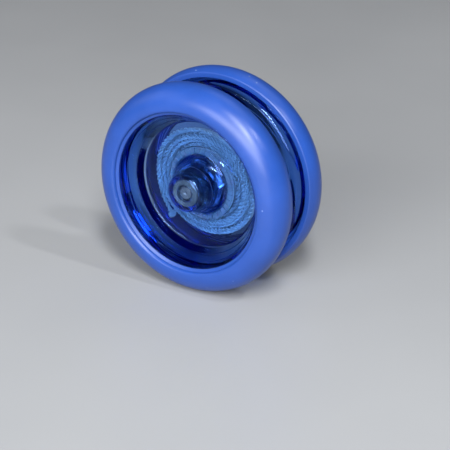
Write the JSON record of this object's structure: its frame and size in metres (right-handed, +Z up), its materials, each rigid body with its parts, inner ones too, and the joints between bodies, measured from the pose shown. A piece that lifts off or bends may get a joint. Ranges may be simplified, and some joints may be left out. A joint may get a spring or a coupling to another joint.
{
  "type": "yo-yo",
  "caption": "Round ball-bearing yo-yo: clear blue cupped halves with fat rounded rims, joined by a threaded axle, string wound in the gap.",
  "frame": {"origin": "middle of the axle, at the middle of the string gap", "axes": "+Y along the axle from the front half to the rear half, +Z up, the two rims standing on the floor"},
  "size_m": [0.055, 0.0252, 0.055],
  "materials": {
    "clear_blue": "clear deep-blue moulding, glossy",
    "rim_blue": "smooth matte moulding with a soft sheen",
    "response_rubber": "soft silicone",
    "knurled_steel": "knurled sleeve with a turned end",
    "axle_steel": "threaded stud",
    "spacer_aluminium": "turned and milled",
    "bearing_steel": "ground",
    "cage_bronze": "pressed bronze",
    "shield_steel": "pressed sheet and spring wire",
    "ball_chrome": "polished",
    "string_cotton": "twisted cotton string"
  },
  "bodies": {
    "front_half": {"front_body": "clear_blue", "front_rim": "rim_blue", "front_response_ring": "response_rubber", "front_insert": "knurled_steel", "front_spacer": "spacer_aluminium", "axle": "axle_steel", "bearing_inner_race": "bearing_steel"},
    "bearing_outer": {"bearing_outer_race": "bearing_steel", "front_shield": "shield_steel", "rear_shield": "shield_steel", "front_shield_clip": "shield_steel", "rear_shield_clip": "shield_steel", "string_winding": "string_cotton", "string_knot": "string_cotton"},
    "bearing_cage": {"bearing_cage": "cage_bronze"},
    "bearing_ball_1": {"bearing_ball_1": "ball_chrome"},
    "bearing_ball_2": {"bearing_ball_2": "ball_chrome"},
    "bearing_ball_3": {"bearing_ball_3": "ball_chrome"},
    "bearing_ball_4": {"bearing_ball_4": "ball_chrome"},
    "bearing_ball_5": {"bearing_ball_5": "ball_chrome"},
    "bearing_ball_6": {"bearing_ball_6": "ball_chrome"},
    "bearing_ball_7": {"bearing_ball_7": "ball_chrome"},
    "bearing_ball_8": {"bearing_ball_8": "ball_chrome"},
    "rear_spacer": {"rear_spacer": "spacer_aluminium"},
    "rear_half": {"rear_body": "clear_blue", "rear_rim": "rim_blue", "rear_response_ring": "response_rubber", "rear_insert": "knurled_steel"}
  },
  "joints": [
    {"name": "bearing_spin", "type": "hinge", "parent": "front_half", "child": "bearing_outer", "pos_m": [0, 0, 0], "axis": [0, 1, 0], "continuous": true},
    {"name": "cage_orbit", "type": "hinge", "parent": "front_half", "child": "bearing_cage", "pos_m": [0, 0, 0], "axis": [0, 1, 0], "continuous": true},
    {"name": "ball_1_roll", "type": "hinge", "parent": "bearing_cage", "child": "bearing_ball_1", "pos_m": [0.00476, 0, 0], "axis": [0, 1, 0], "continuous": true},
    {"name": "ball_2_roll", "type": "hinge", "parent": "bearing_cage", "child": "bearing_ball_2", "pos_m": [0.00337, 0, 0.00337], "axis": [0, 1, 0], "continuous": true},
    {"name": "ball_3_roll", "type": "hinge", "parent": "bearing_cage", "child": "bearing_ball_3", "pos_m": [0, 0, 0.00476], "axis": [0, 1, 0], "continuous": true},
    {"name": "ball_4_roll", "type": "hinge", "parent": "bearing_cage", "child": "bearing_ball_4", "pos_m": [-0.00337, 0, 0.00337], "axis": [0, 1, 0], "continuous": true},
    {"name": "ball_5_roll", "type": "hinge", "parent": "bearing_cage", "child": "bearing_ball_5", "pos_m": [-0.00476, 0, 0], "axis": [0, 1, 0], "continuous": true},
    {"name": "ball_6_roll", "type": "hinge", "parent": "bearing_cage", "child": "bearing_ball_6", "pos_m": [-0.00337, 0, -0.00337], "axis": [0, 1, 0], "continuous": true},
    {"name": "ball_7_roll", "type": "hinge", "parent": "bearing_cage", "child": "bearing_ball_7", "pos_m": [0, 0, -0.00476], "axis": [0, 1, 0], "continuous": true},
    {"name": "ball_8_roll", "type": "hinge", "parent": "bearing_cage", "child": "bearing_ball_8", "pos_m": [0.00337, 0, -0.00337], "axis": [0, 1, 0], "continuous": true},
    {"name": "rear_unscrew", "type": "hinge", "parent": "front_half", "child": "rear_spacer", "pos_m": [0, 0, 0], "axis": [0, 1, 0], "range_deg": [0, 2880]},
    {"name": "rear_backoff", "type": "slide", "parent": "rear_spacer", "child": "rear_half", "axis": [0, 1, 0], "range_m": [0, 0.0056]}
  ],
  "couplings": [
    {"joint": "cage_orbit", "follows": "bearing_spin", "ratio": 0.60499},
    {"joint": "ball_1_roll", "follows": "bearing_spin", "ratio": 2.2763},
    {"joint": "ball_2_roll", "follows": "bearing_spin", "ratio": 2.2763},
    {"joint": "ball_3_roll", "follows": "bearing_spin", "ratio": 2.2763},
    {"joint": "ball_4_roll", "follows": "bearing_spin", "ratio": 2.2763},
    {"joint": "ball_5_roll", "follows": "bearing_spin", "ratio": 2.2763},
    {"joint": "ball_6_roll", "follows": "bearing_spin", "ratio": 2.2763},
    {"joint": "ball_7_roll", "follows": "bearing_spin", "ratio": 2.2763},
    {"joint": "ball_8_roll", "follows": "bearing_spin", "ratio": 2.2763},
    {"joint": "rear_backoff", "follows": "rear_unscrew", "m_per_rad": 0.00011141}
  ]
}
